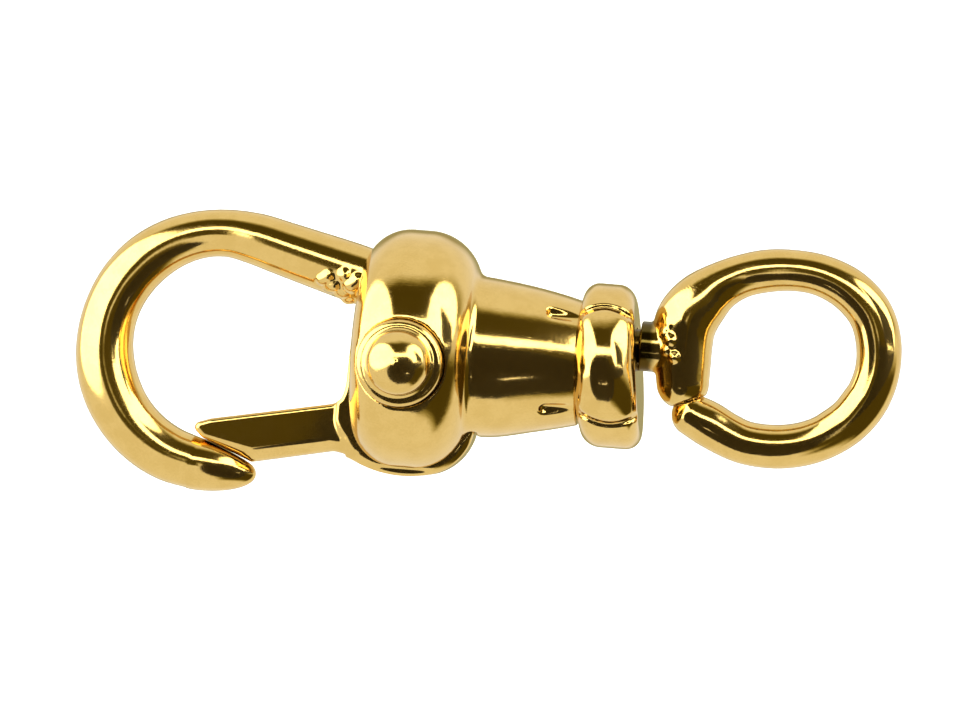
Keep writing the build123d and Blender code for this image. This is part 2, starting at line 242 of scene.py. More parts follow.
def surface(field, low, high, step):
    """Points, outward normals and quads of a field's surface, in millimetres."""
    # one point in each grid cell that the surface crosses, and one quad round each crossed grid edge
    step = step * MESH_SCALE
    axes = [np.arange(a - 2 * step, b + 3 * step, step) for a, b in zip(low, high)]
    x, y, z = np.meshgrid(*axes, indexing="ij", sparse=True)
    values = np.broadcast_to(field(x, y, z), [len(a) for a in axes]).astype(np.float32)
    inside = values < 0
    shape = np.array(values.shape) - 1
    count = np.zeros(shape, np.int8)
    total = np.zeros((*shape, 3), np.float32)
    for axis in range(3):
        others = [o for o in range(3) if o != axis]
        front = np.delete(np.arange(values.shape[axis]), -1)
        near, far = np.take(values, front, axis), np.take(values, front + 1, axis)
        crossed = (near < 0) != (far < 0)
        share = np.where(crossed, near / np.where(crossed, near - far, 1), 0)
        for shift in np.ndindex(2, 2):
            window = [slice(None)] * 3
            for other, move in zip(others, shift):
                window[other] = slice(move, move + shape[other])
            hit = crossed[tuple(window)]
            count += hit
            total[..., axis] += np.where(hit, share[tuple(window)], 0)
            for other, move in zip(others, shift):
                total[..., other] += hit * move
    cells = np.argwhere(count > 0)
    index = np.full(shape, -1)
    index[tuple(cells.T)] = np.arange(len(cells))
    picked = tuple(cells.T)
    places = cells + total[picked] / count[picked][:, None]

    quads = []
    for axis in range(3):
        u, v = (axis + 1) % 3, (axis + 2) % 3
        front = [slice(None)] * 3
        back = [slice(None)] * 3
        front[axis], back[axis] = slice(0, -1), slice(1, None)
        for turned in (False, True):
            starts, stops = inside[tuple(front)], inside[tuple(back)]
            edges = np.argwhere(stops & ~starts if turned else starts & ~stops)
            keep = (edges[:, u] > 0) & (edges[:, v] > 0)
            keep &= (edges[:, u] < shape[u]) & (edges[:, v] < shape[v])
            edges = edges[keep]
            ring = []
            for du, dv in ((-1, -1), (0, -1), (0, 0), (-1, 0)):
                cell = edges.copy()
                cell[:, u] += du
                cell[:, v] += dv
                ring.append(index[tuple(cell.T)])
            quad = np.stack(ring, axis=1)
            quads.append(quad[:, ::-1] if turned else quad)
    quads = np.vstack(quads)

    slopes = np.stack(np.gradient(values), axis=3)
    sides = np.vstack([quads[:, (a, (a + 1) % 4)] for a in range(4)])
    # the points are put on the surface and evened out along it, and only put on it in the last rounds
    for smoothing in range(SURFACE_ROUNDS):
        gradient = sample(slopes, places)
        square = (gradient**2).sum(axis=1) + 1e-9
        move = gradient * (sample(values, places) / square)[:, None]
        places = places - np.clip(move, -LARGEST_MOVE, LARGEST_MOVE)
        if smoothing < EVENING_ROUNDS:
            sums = np.zeros_like(places)
            share = np.zeros(len(places))
            np.add.at(sums, sides[:, 0], places[sides[:, 1]])
            np.add.at(share, sides[:, 0], 1)
            normal = gradient / np.sqrt(square)[:, None]
            drift = sums / share[:, None] - places
            drift -= normal * (drift * normal).sum(axis=1)[:, None]
            places = places + EVENING_SHARE * drift
    normals = sample(slopes, places)
    normals /= np.linalg.norm(normals, axis=1)[:, None] + 1e-12
    points = np.array([a[0] for a in axes]) + places * step
    return points, normals, quads


def piece(name, field, low, high, step, material, body, nodes):
    """A finished mesh piece that rides on a body and stands for CAD nodes."""
    points, normals, quads = surface(field, low, high, step)
    mesh = bpy.data.meshes.new(name)
    mesh.vertices.add(len(points))
    mesh.vertices.foreach_set("co", (points * MM).astype(np.float32).ravel())
    mesh.loops.add(quads.size)
    mesh.loops.foreach_set("vertex_index", quads.ravel().astype(np.int32))
    mesh.polygons.add(len(quads))
    mesh.polygons.foreach_set("loop_start", np.arange(0, quads.size, 4, dtype=np.int32))
    mesh.update(calc_edges=True)
    mesh.validate()
    mesh.polygons.foreach_set("use_smooth", np.ones(len(mesh.polygons), bool))
    mesh.normals_split_custom_set_from_vertices(normals.astype(np.float32))
    mesh.materials.append(material)
    made = bpy.data.objects.new(name, mesh)
    bpy.context.scene.collection.objects.link(made)
    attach(made, body)
    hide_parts(*nodes)


# ---- materials ------------------------------------------------------------------------------
class Nodes:
    """A short way to write a node tree."""

    def __init__(self, tree):
        self.tree = tree

    def add(self, kind, inputs=(), **settings):
        node = self.tree.nodes.new(kind)
        for key, value in settings.items():
            setattr(node, key, value)
        for key, value in dict(inputs).items():
            if isinstance(value, bpy.types.NodeSocket):
                self.tree.links.new(value, node.inputs[key])
            else:
                node.inputs[key].default_value = value
        return node

    def math(self, operation, first, second=0.0):
        return self.add("ShaderNodeMath", {0: first, 1: second}, operation=operation).outputs[0]

    def ramp(self, value, low, high, to_low=0.0, to_high=1.0):
        """A smooth step from to_low, at the value low, to to_high, at the value high."""
        inputs = {"Value": value, 1: low, 2: high, 3: to_low, 4: to_high}
        return self.add("ShaderNodeMapRange", inputs, interpolation_type="SMOOTHSTEP").outputs[0]

    def noise(self, where, size_mm, detail=2.0, rough=0.5, distortion=0.0):
        """Noise whose features are about size_mm across."""
        inputs = {"Vector": where, "Scale": 1 / (size_mm * MM), "Detail": detail,
                  "Roughness": rough, "Distortion": distortion}
        return self.add("ShaderNodeTexNoise", inputs).outputs[0]

    def colours(self, factor, first, second):
        node = self.add("ShaderNodeMix", data_type="RGBA")
        self.tree.links.new(factor, node.inputs[0])
        for socket, colour in ((node.inputs[6], first), (node.inputs[7], second)):
            if isinstance(colour, bpy.types.NodeSocket):
                self.tree.links.new(colour, socket)
            else:
                socket.default_value = (*colour, 1)
        return node.outputs[2]

    def bump(self, height, depth_mm, below=None):
        inputs = {"Height": height, "Strength": 1.0, "Distance": depth_mm * MM}
        if below is not None:
            inputs["Normal"] = below
        return self.add("ShaderNodeBump", inputs).outputs["Normal"]


GOLD = (0.735, 0.505, 0.165)
GOLD_DEEP = (0.69, 0.465, 0.14)
# painted shade colour, for the eye's neck where the collar and the root shade it
PAINTED_SHADE = (0.10, 0.070, 0.015)
BRASS, BRASS_DEEP = (0.60, 0.42, 0.17), (0.44, 0.29, 0.11)
STEEL, STEEL_DEEP = (0.42, 0.43, 0.45), (0.30, 0.31, 0.33)
SPRING, SPRING_DEEP = (0.33, 0.34, 0.37), (0.22, 0.23, 0.26)


def metal(name, light, deep, roughness, wave, scratch, shade_below=None):
    """Polished metal: slow waves of hand polishing, fine grain and scratches, uneven roughness.

    The waves' and the scratches' depths are in millimetres. Below a given height, in
    millimetres too, the base colour turns dark: painted shade.
    """
    material = bpy.data.materials.new(name)
    material.use_nodes = True
    nodes = Nodes(material.node_tree)
    material.node_tree.nodes.clear()
    where = nodes.add("ShaderNodeTexCoord").outputs["Object"]
    slow = nodes.noise(where, 2.2, detail=1.0)
    middle = nodes.noise(where, 0.7, detail=2.0)
    grain = nodes.noise(where, 0.075, detail=2.0, rough=0.6)
    stretched = nodes.add("ShaderNodeMapping", {"Vector": where, "Scale": (1.0, 1.0, 0.1)}).outputs[0]
    lines = nodes.ramp(nodes.noise(stretched, 0.06, detail=2.0, distortion=0.5), 0.58, 0.8)

    normal = nodes.bump(slow, wave)
    normal = nodes.bump(middle, wave * 0.3, normal)
    normal = nodes.bump(lines, scratch, normal)
    normal = nodes.bump(grain, scratch * 1.5, normal)

    tone = nodes.ramp(nodes.math("ADD", middle, nodes.math("MULTIPLY", grain, 0.6)), 0.6, 1.0)
    uneven = nodes.math("ADD", nodes.math("MULTIPLY", middle, 0.06), nodes.math("MULTIPLY", grain, 0.05))
    colour = nodes.colours(tone, light, deep)
    # painted shade: below the given height the base colour turns dark, with a noisy edge
    if shade_below is not None:
        height = nodes.add("ShaderNodeSeparateXYZ", {"Vector": where}).outputs[2]
        height = nodes.math("ADD", height, nodes.math("MULTIPLY", middle, 0.3 * MM))
        unshaded = nodes.ramp(height, (shade_below - 0.1) * MM, (shade_below + 0.2) * MM)
        colour = nodes.colours(unshaded, PAINTED_SHADE, colour)
    shader = nodes.add("ShaderNodeBsdfPrincipled", {
        "Base Color": colour,
        "Metallic": 1.0,
        "Roughness": nodes.math("ADD", uneven, roughness),
        "Normal": normal,
    })
    output = nodes.add("ShaderNodeOutputMaterial")
    material.node_tree.links.new(shader.outputs[0], output.inputs["Surface"])
    return material


gold = metal("polished_gold", GOLD, GOLD_DEEP, roughness=0.05, wave=0.014, scratch=0.0005)
cast_gold = metal("cast_gold", GOLD, GOLD_DEEP, roughness=0.05, wave=0.022, scratch=0.0006)
worn_gold = metal("worn_gold", GOLD, GOLD_DEEP, roughness=0.08, wave=0.060, scratch=0.0010)
# the eye's neck, below -4.85 mm between the collar and the root, gets painted shade
eye_gold = metal("eye_gold", GOLD, GOLD_DEEP, roughness=0.05, wave=0.014, scratch=0.0005, shade_below=-4.85)
brass = metal("turned_brass", BRASS, BRASS_DEEP, roughness=0.20, wave=0.004, scratch=0.0010)
steel = metal("pin_steel", STEEL, STEEL_DEEP, roughness=0.22, wave=0.003, scratch=0.0010)
spring_metal = metal("spring_steel", SPRING, SPRING_DEEP, roughness=0.25, wave=0.003, scratch=0.0012)

for node, material in (("pivot_pin", steel), ("spring_seat", brass), ("shank_washer", brass)):
    mesh = frame["nodes"][node].data
    mesh.materials.clear()
    mesh.materials.append(material)


# ---- body casting: barrel and cone ------------------------------------------------------------
BARREL_HALF_WIDTH = 2.13
BARREL_EDGES = (1.68, 1.95)         # rounding on the hook side and on the cone side
# the cone as (z, radius), swelling a little in the middle
CONE_RADII = ((-12.4, 2.95), (-11.3, 2.86), (-10.2, 2.76), (-9.0, 2.57), (-8.2, 2.40), (-7.2, 2.14))
CONE_FILLET = 0.26
SWELL_HEIGHT, SWELL_Z, SWELL_LENGTH = 0.11, -10.5, 1.1      # the cone bulges a little on the gate's side
CORE_RADIUS = 2.77
SLOT_RADIUS = 4.11
SLOT_CORNER, SLOT_EDGE = 0.05, 0.14
HEEL_RADIUS = 2.05          # of the slot's rounded end, in the corner of barrel and cone
HEEL_ANGLE = radians(75)    # from +Z towards +X
BORE_RADIUS = 1.15
SEAT_GAP, PIN_GAP = 0.02, 0.005     # round the rings and round the pin
FLUTE_LENGTH, FLUTE_RADIUS, FLUTE_REACH, FLUTE_EDGE = 1.05, 0.22, 2.44, 0.14
barrel_z = BARREL_BOTTOM + BARREL_HALF_WIDTH
cone_fit = np.polyfit(*np.array(CONE_RADII).T, 3)
heel_x = PIVOT_X + (SLOT_RADIUS - HEEL_RADIUS) * sin(HEEL_ANGLE)
heel_z = PIVOT_Z + (SLOT_RADIUS - HEEL_RADIUS) * cos(HEEL_ANGLE)


def slot_outline(x, z):
    """The gate's slot in the hook plane: a round pocket, open on the gate side."""
    px, pz = x - PIVOT_X, z - PIVOT_Z
    open_side = np.maximum(-px * cos(HEEL_ANGLE) + pz * sin(HEEL_ANGLE), -px)
    slot = join(rod(px, pz, CORE_RADIUS), np.maximum(rod(px, pz, SLOT_RADIUS), open_side))
    return join(slot, rod(x - heel_x, z - heel_z, HEEL_RADIUS))


def body_field(x, y, z):
    r = np.hypot(x - BODY_X, y)
    # the barrel's rounding passes smoothly from one edge's to the other's
    share = np.clip(0.5 + (z - barrel_z) / 1.2, 0, 1)
    edge = BARREL_EDGES[0] + (BARREL_EDGES[1] - BARREL_EDGES[0]) * share * share * (3 - 2 * share)
    barrel = rounded_rectangle(r, z - barrel_z, BARREL_RADIUS, BARREL_HALF_WIDTH, edge)
    on_gate_side = np.clip((x - BODY_X) / 2.5, 0, 1)
    swell = SWELL_HEIGHT * on_gate_side * np.exp(-((z - SWELL_Z) / SWELL_LENGTH) ** 2)
    cone = (r - np.polyval(cone_fit, z) - swell) * 0.97
    cone = np.maximum(cone, slab(z, barrel_z, COLLAR_BOTTOM))
    shape = join(barrel, cone, CONE_FILLET)
    shape = cut(shape, plate(slot_outline(x, z), y, SLOT_HALF, SLOT_CORNER), SLOT_EDGE)
    for side in (-1, 1):
        seat = np.maximum(rod(x - PIVOT_X, z - PIVOT_Z, RING_RADIUS + SEAT_GAP), ring_low.y - side * y)
        shape = cut(shape, seat, 0.05)
    shape = cut(shape, rod(x - PIVOT_X, z - PIVOT_Z, PIN_RADIUS + PIN_GAP), 0.03)
    bore = np.maximum(rod(x, y, BORE_RADIUS), spring_low.z - 0.1 - z)
    shape = cut(shape, bore, 0.04)
    for quarter in range(4):
        turn = radians(45 + 90 * quarter)
        flute_x, flute_y = BODY_X + FLUTE_REACH * cos(turn), FLUTE_REACH * sin(turn)
        below = np.maximum(COLLAR_BOTTOM - FLUTE_LENGTH - z, 0)
        flute = np.sqrt((x - flute_x) ** 2 + (y - flute_y) ** 2 + below**2) - FLUTE_RADIUS
        shape = cut(shape, flute, FLUTE_EDGE)
    return shape


piece("body_casting", body_field,
      (BODY_X - BARREL_RADIUS, -BARREL_RADIUS, BARREL_BOTTOM),
      (BODY_X + BARREL_RADIUS, BARREL_RADIUS, COLLAR_BOTTOM),
      0.067, cast_gold, "clasp", ["knuckle_body"])


# ---- collar: four beads, each well off the body axis, with creases between them ----------------
LOBE_OFFSET = 0.42
LOBE_EDGES = (0.64, 0.90)           # rounding of the lobes in the hook plane, and of the ones across it
LOBE_SHIFT = 0.10                   # how far the lobes across the plane sit towards the cone
CREASE_DEPTH, CREASE_HALF_WIDTH = 0.12, 0.10
CREASE_REACH, CREASE_BULGE = 1.68, 0.38     # its distance from the body axis, and how far it bows out
LEAN_BELOW, LEAN_ABOVE = 0.05, 0.12         # slopes of the collar's lower and upper face
LOBE_BLEND = 0.20
COLLAR_WALL = 0.86                          # between the upper face and the washer's pocket
POCKET_RADIUS, SHANK_HOLE_RADIUS = 0.98, 0.66
LEAN_ROOM = 0.35                            # that the leaning upper face needs above the plain one
collar_middle = (COLLAR_TOP + COLLAR_BOTTOM) / 2
lobe_radius = (collar_high.y - collar_low.y) / 2 - LOBE_OFFSET
half_collar = (COLLAR_TOP - COLLAR_BOTTOM) / 2


def collar_field(x, y, z):
    # the lower face leans a little and the upper face more, so the collar is thicker on one side
    share = np.clip((z - COLLAR_BOTTOM) / (COLLAR_TOP - COLLAR_BOTTOM), 0, 1)
    level = z - (x - BODY_X) * (LEAN_BELOW + (LEAN_ABOVE - LEAN_BELOW) * share)
    beads = []
    for quarter in range(4):
        turn = radians(90 * quarter)
        r = np.hypot(x - BODY_X - LOBE_OFFSET * cos(turn), y - LOBE_OFFSET * sin(turn))
        across = quarter % 2
        shifted = level - collar_middle + across * LOBE_SHIFT
        beads.append(rounded_rectangle(r, shifted, lobe_radius, half_collar, LOBE_EDGES[across]))
    shape = join(join(beads[0], beads[2]), join(beads[1], beads[3]), LOBE_BLEND)
    # a crease bows round each lobe that lies across the hook plane
    bow = CREASE_REACH + CREASE_BULGE * (1 - ((level - collar_middle) / half_collar) ** 2)
    crease = np.exp(-(((np.abs(x - BODY_X) - bow) / CREASE_HALF_WIDTH) ** 2))
    outside = np.clip((np.hypot(x - BODY_X, y) - 2.2) / 0.3, 0, 1)
    shape = shape + CREASE_DEPTH * crease * outside
    spigot = np.maximum(rod(x, y, BORE_RADIUS), slab(z, collar_low.z, collar_middle))
    shape = join(shape, spigot)
    shape = cut(shape, np.maximum(rod(x, y, POCKET_RADIUS), z - COLLAR_TOP + COLLAR_WALL), 0.03)
    return cut(shape, rod(x, y, SHANK_HOLE_RADIUS), 0.10)


piece("lobed_collar", collar_field,
      (collar_low.x, collar_low.y, collar_low.z), (collar_high.x, collar_high.y, collar_high.z + LEAN_ROOM),
      0.05, cast_gold, "clasp", ["collar_ferrule"])


# ---- hook -------------------------------------------------------------------------------------
BOW_X, BOW_Z, BOW_RADIUS = 1.34, -20.64, 4.21
ARM_ANGLE, TIP_ANGLE = 14.5, 7.0
ARM_LENGTH, ARM_SPACING = 4.6, 0.9
ARM_RADII = (1.04, 1.06, 1.04, 1.01, 0.98)       # down the arm to the bow
BOW_RADII = (0.94, 0.86, 0.86, 0.91, 0.96, 0.98, 0.99, 1.02, 1.06, 1.07, 1.05, 1.03, 1.00, 0.94)
TIP_RADIUS, TIP_LENGTH, TIP_POWER = 0.955, 2.2, 1.6
MATING_POINT, MATING_ANGLE = (4.98, -20.00), radians(23)
ELSEWHERE = -9.0                # far inside, where a local cut doesn't reach
LUMPS, LUMP_BLEND = 16, 0.12
ROOT_OVERLAP = 0.9              # of the root with the barrel's round edge


def bow_point(angle):
    """A point (x, z) of the bow's middle line, at an angle from +X towards +Z."""
    return BOW_X + BOW_RADIUS * cos(radians(angle)), BOW_Z + BOW_RADIUS * sin(radians(angle))


def hook_stations():
    """(x, z, radius) from the root, round the bow, to the tip."""
    stations = []
    foot_x, foot_z = bow_point(180 - ARM_ANGLE)
    for number, radius in enumerate(ARM_RADII):
        reach = ARM_LENGTH - ARM_SPACING * number
        stations.append((foot_x + reach * sin(radians(ARM_ANGLE)),
                         foot_z + reach * cos(radians(ARM_ANGLE)), radius))
    turn = (180 + ARM_ANGLE - TIP_ANGLE) / (len(BOW_RADII) - 1)
    for number, radius in enumerate(BOW_RADII):
        stations.append((*bow_point(180 - ARM_ANGLE + turn * number), radius))
    return stations


def tip(x, y, z):
    """The hook's end beyond the bow: a long blunt point."""
    foot_x, foot_z = bow_point(-TIP_ANGLE)
    lean = radians(TIP_ANGLE)
    reach = (x - foot_x) * sin(lean) + (z - foot_z) * cos(lean)
    across = (x - foot_x) * cos(lean) - (z - foot_z) * sin(lean)
    slimmer = (np.maximum(reach, 0) / TIP_LENGTH) ** TIP_POWER
    shape = (np.sqrt((across**2 + y**2) / TIP_RADIUS**2 + slimmer) - 1) * 0.9
    return np.maximum(shape, -0.2 - reach)


def mating_side(x, z):
    """Distance out of the slanted face where the gate's nose meets the hook's tip."""
    return (x - MATING_POINT[0]) * cos(MATING_ANGLE) - (z - MATING_POINT[1]) * sin(MATING_ANGLE)


hook_route = smooth_route(hook_stations())


def solder_lumps():
    """Small lumps of solder, as (x, y, z, radius), on the front of the root towards the gate."""
    lumps = []
    foot_x, foot_z = bow_point(180 - ARM_ANGLE)
    for number in range(LUMPS):
        # shares that scatter evenly: round the arm, down it, and between small and large
        spread, depth, size = (number * 0.618) % 1, (number * 0.415) % 1, (number * 0.73) % 1
        around = radians(8 + 72 * spread)
        reach = 4.05 - 1.45 * depth
        lump_x = foot_x + reach * sin(radians(ARM_ANGLE))
        lump_z = foot_z + reach * cos(radians(ARM_ANGLE))
        radius = 0.15 + 0.17 * size * (1 - 0.5 * depth)
        away = ARM_RADII[0] - 0.35 * radius
        lumps.append((lump_x + away * sin(around), -away * cos(around), lump_z, radius))
    return lumps


def hook_field(x, y, z):
    wire = join(tube(x, y, z, hook_route), tip(x, y, z))
    for lump_x, lump_y, lump_z, radius in solder_lumps():
        wire = join(wire, ball(x, y, z, (lump_x, lump_y, lump_z), radius), LUMP_BLEND)
    at_tip = (z > BOW_Z - 1.2) & (x > BOW_X + 1.5)
    wire = common(wire, np.where(at_tip, -mating_side(x, z), ELSEWHERE), 0.12)
    # the root runs on into the barrel's round edge
    return np.maximum(wire, z - BARREL_BOTTOM - ROOT_OVERLAP)


hook_low, hook_high = box_mm("hook_arm")
piece("hook_wire", hook_field,
      (hook_low.x, hook_low.y, hook_low.z), (hook_high.x, hook_high.y, BARREL_BOTTOM + ROOT_OVERLAP),
      0.05, gold, "clasp", ["hook_arm"])


# ---- gate: tongue, hub and cam ------------------------------------------------------------------
HUB_RADIUS = 4.05
# the tongue's outline, drawn inside its edge by the rounding of its corners
TONGUE = ((3.08, -15.86), (4.04, -20.63), (4.19, -21.05), (4.43, -20.80), (5.10, -19.13), (4.35, -15.64),
          (3.2, -14.6), (2.1, -14.6))
TONGUE_CORNER, TONGUE_FILLET = 0.20, 0.55
NOSE_Z = -18.6                      # below it, the tongue's nose meets the hook's tip
FRONT = ((1.31, -13.64), (5.1, -14.0), (5.0, -15.2), (4.57, -15.81), (2.9, -15.90), (-0.30, -15.80),
         (-1.05, -15.0))
GATE_TRAVEL = 30.0
CAM_THROW, CAM_RADIUS = 1.10, 1.55
GATE_CORE_RADIUS = 2.72
CORE_START, RIM_END = radians(36), radians(120)     # from +Z towards +X, as HEEL_ANGLE
MATING_GAP, PIN_ROOM, HEEL_GAP = 0.012, 0.05, 0.06
HUB_STEP = 0.11                     # how far the hub's faces stand out over the tongue's
HUB_CORNER = (3.45, -14.41, 1.76)   # the round corner of those faces: x, z and radius
gate_half = gate_high.y


def sector(px, pz, start, end):
    """Between two directions from the pivot, given as angles from +Z towards +X."""
    return np.maximum(-px * cos(start) + pz * sin(start), px * cos(end) - pz * sin(end))


def gate_field(x, y, z):
    px, pz = x - PIVOT_X, z - PIVOT_Z
    fan = common(rod(px, pz, HUB_RADIUS), sector(px, pz, HEEL_ANGLE, RIM_END), 0.05)
    fan = join(fan, rod(x - heel_x, z - heel_z, HEEL_RADIUS - HEEL_GAP))
    core = np.maximum(rod(px, pz, GATE_CORE_RADIUS), sector(px, pz, CORE_START, HEEL_ANGLE))
    cam_turn = radians(GATE_TRAVEL / 2)
    cam = rod(px + CAM_THROW * cos(cam_turn), pz + CAM_THROW * sin(cam_turn), CAM_RADIUS)
    outline = join(join(join(fan, core), polygon(x, z, FRONT), 0.05), cam)
    outline = join(outline, polygon(x, z, TONGUE) - TONGUE_CORNER, TONGUE_FILLET)
    outline = cut(outline, rod(px, pz, PIN_RADIUS + PIN_ROOM))
    outline = common(outline, np.where(z < NOSE_Z, mating_side(x, z) + MATING_GAP, ELSEWHERE), 0.02)
    # the tongue's inner edge is softly broken and its outer edge is well rounded
    across_tongue = (x - 2.95) * 0.98 + (z + 16.34) * 0.2
    ease = 0.16 + 0.44 * np.clip((across_tongue - 0.6) / 0.8, 0, 1) * np.clip((-15.2 - z) / 1.2, 0, 1)
    tongue = plate(outline, y, gate_half - HUB_STEP, ease)
    # the hub stands a little prouder, with a round rim
    corner_x, corner_z, corner_radius = HUB_CORNER
    hub = np.hypot(np.maximum(x - corner_x, 0), np.maximum(corner_z - z, 0)) - corner_radius
    on_rim = np.clip((np.hypot(px, pz) - 2.6) / 0.5, 0, 1) * np.clip((x - 3.5) / 0.6, 0, 1)
    return join(tongue, plate(common(outline, hub, 0.05), y, gate_half, 0.10 + 0.26 * on_rim), 0.04)


piece("gate_leaf", gate_field,
      (gate_low.x, gate_low.y, gate_low.z), (gate_high.x, gate_high.y, gate_high.z),
      0.045, gold, "gate", ["gate_tongue"])


# ---- boss rings and buttons ---------------------------------------------------------------------
RING_STEPS = ((1.0, 0.80), (0.82, 1.0))      # shares of the ring's radius and height
RING_ROUNDING, RING_BLEND = 0.21, 0.07
RING_RISE = 0.62                    # of the steps over the barrel's side
STEM_RADIUS = 0.90                  # of the button, inside the ring
POINT_RADIUS, POINT_BLEND = 0.10, 0.07
ring_foot, ring_top = ring_low.y, ring_high.y
button_top = button_high.y

for side, where in ((-1, "front"), (1, "rear")):
    def ring_field(x, y, z):
        r, out = np.hypot(x - PIVOT_X, z - PIVOT_Z), side * y
        ring = None
        for wide, high in RING_STEPS:
            top = ring_top - RING_RISE * (1 - high)
            disc = rounded_rectangle(r, out - ring_foot, RING_RADIUS * wide, top - ring_foot, RING_ROUNDING)
            ring = disc if ring is None else join(ring, disc, RING_BLEND)
        ring = np.maximum(ring, ring_foot - out)
        ring = cut(ring, r - PIN_RADIUS)
        return cut(ring, np.maximum(r - STEM_RADIUS, pin_high.y - out))

    def button_field(x, y, z):
        r, out = np.hypot(x - PIVOT_X, z - PIVOT_Z), side * y
        height = button_top - 0.05 - ring_top
        dome = (np.hypot(r / BUTTON_RADIUS, (out - ring_top) / height) - 1) * 0.9
        # the dome runs up to a small blunt point
        dome = join(dome, ball(r, out, 0, (0, button_top - 0.12, 0), POINT_RADIUS), POINT_BLEND)
        dome = np.maximum(dome, ring_top - out)
        return join(dome, np.maximum(r - STEM_RADIUS, slab(out, pin_high.y, ring_top + 0.2)))

    for name, field, low, high, node in (
        ("ring", ring_field, ring_low, ring_high, "boss_ring"),
        ("button", button_field, button_low, button_high, "button_cap"),
    ):
        span = sorted((side * low.y, side * high.y))
        piece(f"{where}_{name}", field, (low.x, span[0], low.z), (high.x, span[1], high.z),
              0.028, worn_gold, "clasp", [f"{where}_{node}"])


# ---- eye: shank, neck, root and open loop in one wire --------------------------------------------
# x, z and radius along the wire, which is bent by hand, so the loop isn't a true circle
ROOT = ((1.20, -3.82, 0.95), (0.50, -3.88, 1.02), (-0.30, -3.94, 1.09), (-1.00, -3.88, 1.13),
        (-1.70, -3.47, 1.06), (-2.30, -2.86, 0.88), (-2.78, -2.02, 0.78))
LOOP = ((-3.06, -1.05, 0.77), (-3.14, 0.00, 0.74), (-3.01, 0.96, 0.75), (-2.58, 1.92, 0.79),
        (-1.84, 2.69, 0.81), (-0.90, 3.07, 0.82), (0.17, 3.13, 0.81), (1.18, 2.86, 0.82),
        (2.04, 2.29, 0.82), (2.68, 1.50, 0.80), (3.07, 0.60, 0.79), (3.23, -0.38, 0.79),
        (3.17, -1.40, 0.78))
END = ((2.90, -2.17, 0.80), (2.57, -2.84, 0.82), (2.32, -3.40, 0.76))
# x, y, z and radius of the drops of braze over the neck
BRAZE = ((-0.85, -0.80, -4.40, 0.20), (-0.52, -0.90, -4.52, 0.17), (-0.28, -0.98, -4.30, 0.21),
         (0.10, -0.95, -4.42, 0.16), (0.32, -1.00, -4.12, 0.18))
BRAZE_BLEND, NECK_FILLET = 0.14, 0.12
ROOT_Z = -4.0                       # the neck and the shank reach up to here, inside the root
JOINT_GAP = 0.05
NECK_RADIUS, SHANK_RADIUS, HEAD_RADIUS = 0.90, 0.60, 0.84
root_route = smooth_route([*ROOT, *LOOP[:10]])
end_route = smooth_route([*LOOP[7:], *END])


def eye_field(x, y, z):
    root, end = tube(x, y, z, root_route), tube(x, y, z, end_route)
    # the blunt end lies against the root, with a thin open joint between them
    root = cut(root, np.maximum(end - JOINT_GAP, z + 1.0), 0.04)
    shape = join(root, end)
    neck = np.maximum(rod(x, y, NECK_RADIUS), slab(z, COLLAR_TOP + 0.01, ROOT_Z))
    shape = join(shape, neck, NECK_FILLET)
    for lump_x, lump_y, lump_z, radius in BRAZE:
        shape = join(shape, ball(x, y, z, (lump_x, lump_y, lump_z), radius), BRAZE_BLEND)
    shank = np.maximum(rod(x, y, SHANK_RADIUS), slab(z, eye_low.z, ROOT_Z))
    head = np.maximum(rod(x, y, HEAD_RADIUS), slab(z, eye_low.z, washer_low.z - 0.01))
    return join(join(shape, shank), head)


piece("eye_wire", eye_field,
      (eye_low.x, eye_low.y, eye_low.z), (eye_high.x, eye_high.y, eye_high.z),
      0.05, eye_gold, "eye", ["swivel_eye"])


# ---- gate spring: a coil between the gate's cam and the seat --
SPRING_TURNS, SPRING_WIRE, SPRING_MIDDLE = 7, 0.13, 0.78       # turns, wire radius, coil radius
STEPS_A_TURN, STEPS_AROUND = 40, 12
spring_length = spring_high.z - spring_low.z


def coil_shape():
    """Points, normals and faces of a wire wound about the swivel axis, with flat ends."""
    points, normals, faces = [], [], []
    steps = SPRING_TURNS * STEPS_A_TURN
    rise = spring_length - 2 * SPRING_WIRE
    climb = rise / SPRING_TURNS / (2 * pi * SPRING_MIDDLE)
    for step in range(steps + 1):
        turn = 2 * pi * step / STEPS_A_TURN
        level = spring_low.z + SPRING_WIRE + rise * step / steps
        out = np.array([cos(turn), sin(turn), 0.0])
        above = np.array([climb * sin(turn), -climb * cos(turn), 1.0]) / hypot(climb, 1.0)
        for number in range(STEPS_AROUND):
            way = 2 * pi * number / STEPS_AROUND
            normal = out * cos(way) + above * sin(way)
            points.append(out * SPRING_MIDDLE + [0, 0, level] + normal * SPRING_WIRE)
            normals.append(normal)
    for step in range(steps):
        for number in range(STEPS_AROUND):
            a = step * STEPS_AROUND + number
            b = step * STEPS_AROUND + (number + 1) % STEPS_AROUND
            faces.append((a, a + STEPS_AROUND, b + STEPS_AROUND, b))
    faces.append(tuple(range(STEPS_AROUND)))
    faces.append(tuple(steps * STEPS_AROUND + number for number in reversed(range(STEPS_AROUND))))
    return points, normals, faces


coil_points, coil_normals, coil_faces = coil_shape()
coil_mesh = bpy.data.meshes.new("coil_spring")
coil_mesh.from_pydata([tuple(point * MM) for point in coil_points], [], coil_faces)
coil_mesh.polygons.foreach_set("use_smooth", [len(face) == 4 for face in coil_faces])
coil_mesh.normals_split_custom_set_from_vertices([tuple(normal) for normal in coil_normals])
coil_mesh.materials.append(spring_metal)
coil = bpy.data.objects.new("coil_spring", coil_mesh)
bpy.context.scene.collection.objects.link(coil)
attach(coil, "clasp")
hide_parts("gate_spring")
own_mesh(coil)


